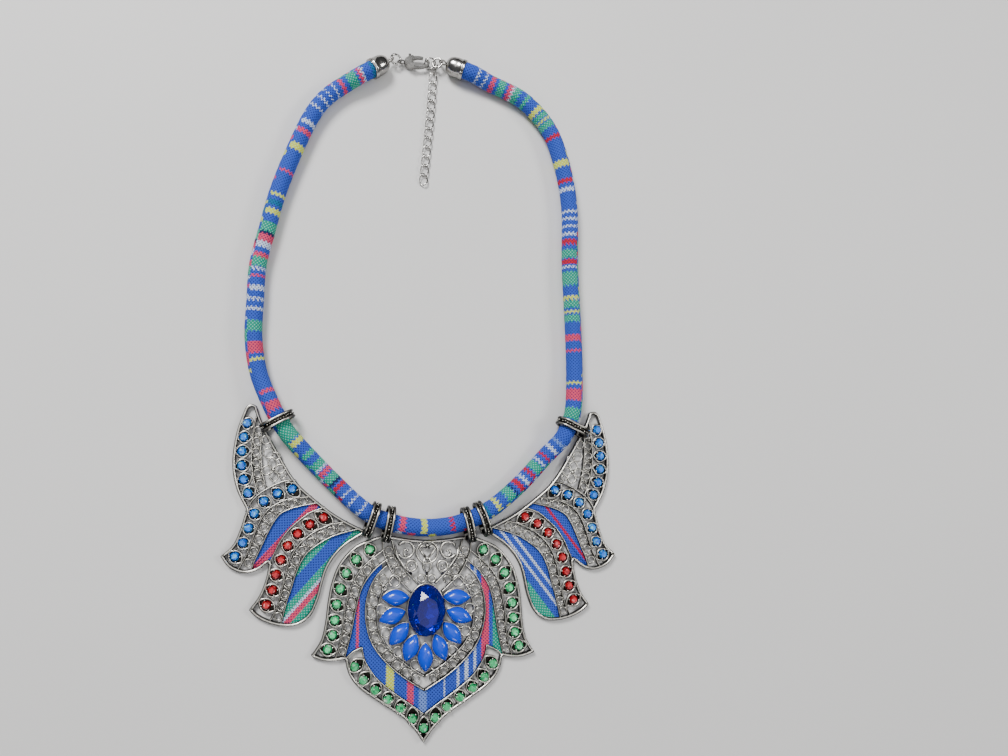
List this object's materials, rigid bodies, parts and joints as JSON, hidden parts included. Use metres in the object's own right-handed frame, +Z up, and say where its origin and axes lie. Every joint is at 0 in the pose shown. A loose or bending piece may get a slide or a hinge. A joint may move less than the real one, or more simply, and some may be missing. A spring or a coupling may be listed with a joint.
{
  "type": "bib necklace",
  "caption": "Bib necklace: pierced silver plates set with stones and inset with woven cloth, hung by flat loops on a cloth cord that closes with a claw clasp and a short chain.",
  "frame": {"origin": "on the floor under the middle of the whole, measured over everything", "axes": "+Z up from the lying plates, +Y from the bib towards the clasp, +X to the right as seen from above with the clasp at the far side"},
  "size_m": [0.1436, 0.254, 0.0099],
  "materials": {
    "antique_silver": "antiqued cast silver tone, bright on raised rims, dark in recesses",
    "polished_silver": "polished silver tone",
    "royal_blue_glass": "cut glass, deep blue",
    "azure_stone": "glossy opaque bright blue stone",
    "woven_cloth": "striped handwoven cotton",
    "cord_cloth": "striped handwoven cotton wrapped round a round filler"
  },
  "bodies": {
    "necklace": {"centre_plate": "antique_silver", "left_wing": "antique_silver", "right_wing": "antique_silver", "centre_cloth": "woven_cloth", "left_cloth_1": "woven_cloth", "left_cloth_2": "woven_cloth", "right_cloth_1": "woven_cloth", "right_cloth_2": "woven_cloth", "centre_stone": "royal_blue_glass", "petal_stone_1": "azure_stone", "petal_stone_2": "azure_stone", "petal_stone_3": "azure_stone", "petal_stone_4": "azure_stone", "petal_stone_5": "azure_stone", "petal_stone_6": "azure_stone", "petal_stone_7": "azure_stone", "petal_stone_8": "azure_stone", "petal_stone_9": "azure_stone", "cord": "cord_cloth", "cap_left": "polished_silver", "cap_right": "polished_silver", "ring_left": "polished_silver", "ring_hook": "polished_silver", "ring_right": "polished_silver", "clasp_body": "polished_silver", "chain_connector": "polished_silver", "chain_link_01": "polished_silver", "chain_link_02": "polished_silver", "chain_link_03": "polished_silver", "chain_link_04": "polished_silver", "chain_link_05": "polished_silver", "chain_link_06": "polished_silver", "chain_link_07": "polished_silver", "chain_link_08": "polished_silver", "chain_link_09": "polished_silver", "chain_link_10": "polished_silver", "chain_link_11": "polished_silver", "chain_link_12": "polished_silver"},
    "lever": {"clasp_lever": "polished_silver"}
  },
  "joints": [
    {"name": "clasp_lever_hinge", "type": "hinge", "parent": "necklace", "child": "lever", "pos_m": [-0.01001, 0.12457, 0.00198], "axis": [0, 0, 1], "range_deg": [-18, 0], "stiffness_Nm_per_rad": 0.02, "springref_deg": 8.59}
  ]
}
